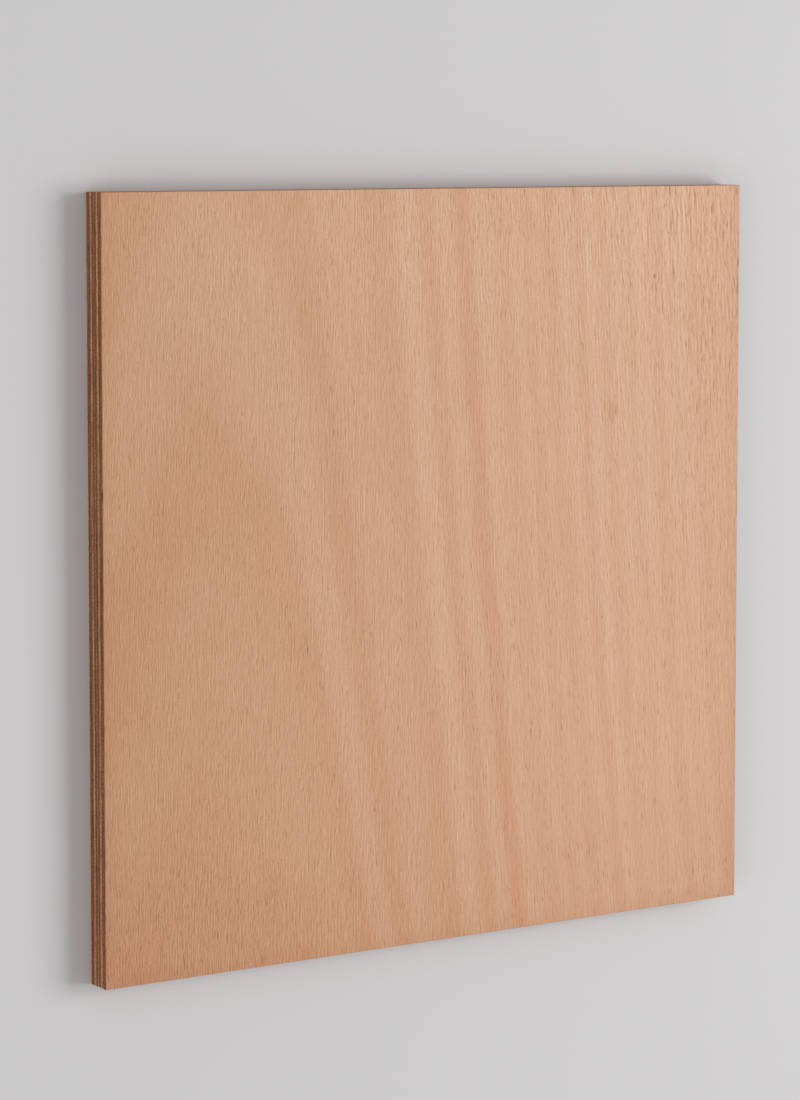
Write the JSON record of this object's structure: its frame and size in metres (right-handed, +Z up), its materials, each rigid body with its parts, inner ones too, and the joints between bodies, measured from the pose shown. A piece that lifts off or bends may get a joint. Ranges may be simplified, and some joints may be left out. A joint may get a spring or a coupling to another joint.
{
  "type": "plywood sheet",
  "caption": "Square plywood sheet of veneers glued with alternating grain, reddish brown hardwood face, sawn edges with the plies showing; flat stock to cut, fasten or clad with.",
  "frame": {"origin": "middle of the back, where the sheet lies on the floor", "axes": "+Z up through the thickness to the face veneer, +Y along the face grain, +X across the face grain"},
  "size_m": [0.3, 0.3, 0.012],
  "materials": {
    "face_veneer": "matte",
    "back_veneer": "matte",
    "long_ply": "matte",
    "crossband": "matte"
  },
  "bodies": {
    "root": {"back_veneer": "back_veneer", "back_crossband": "crossband", "back_long_ply": "long_ply", "back_core_crossband": "crossband", "centre_ply": "long_ply", "face_core_crossband": "crossband", "face_long_ply": "long_ply", "face_crossband": "crossband", "face_veneer": "face_veneer"}
  },
  "joints": []
}
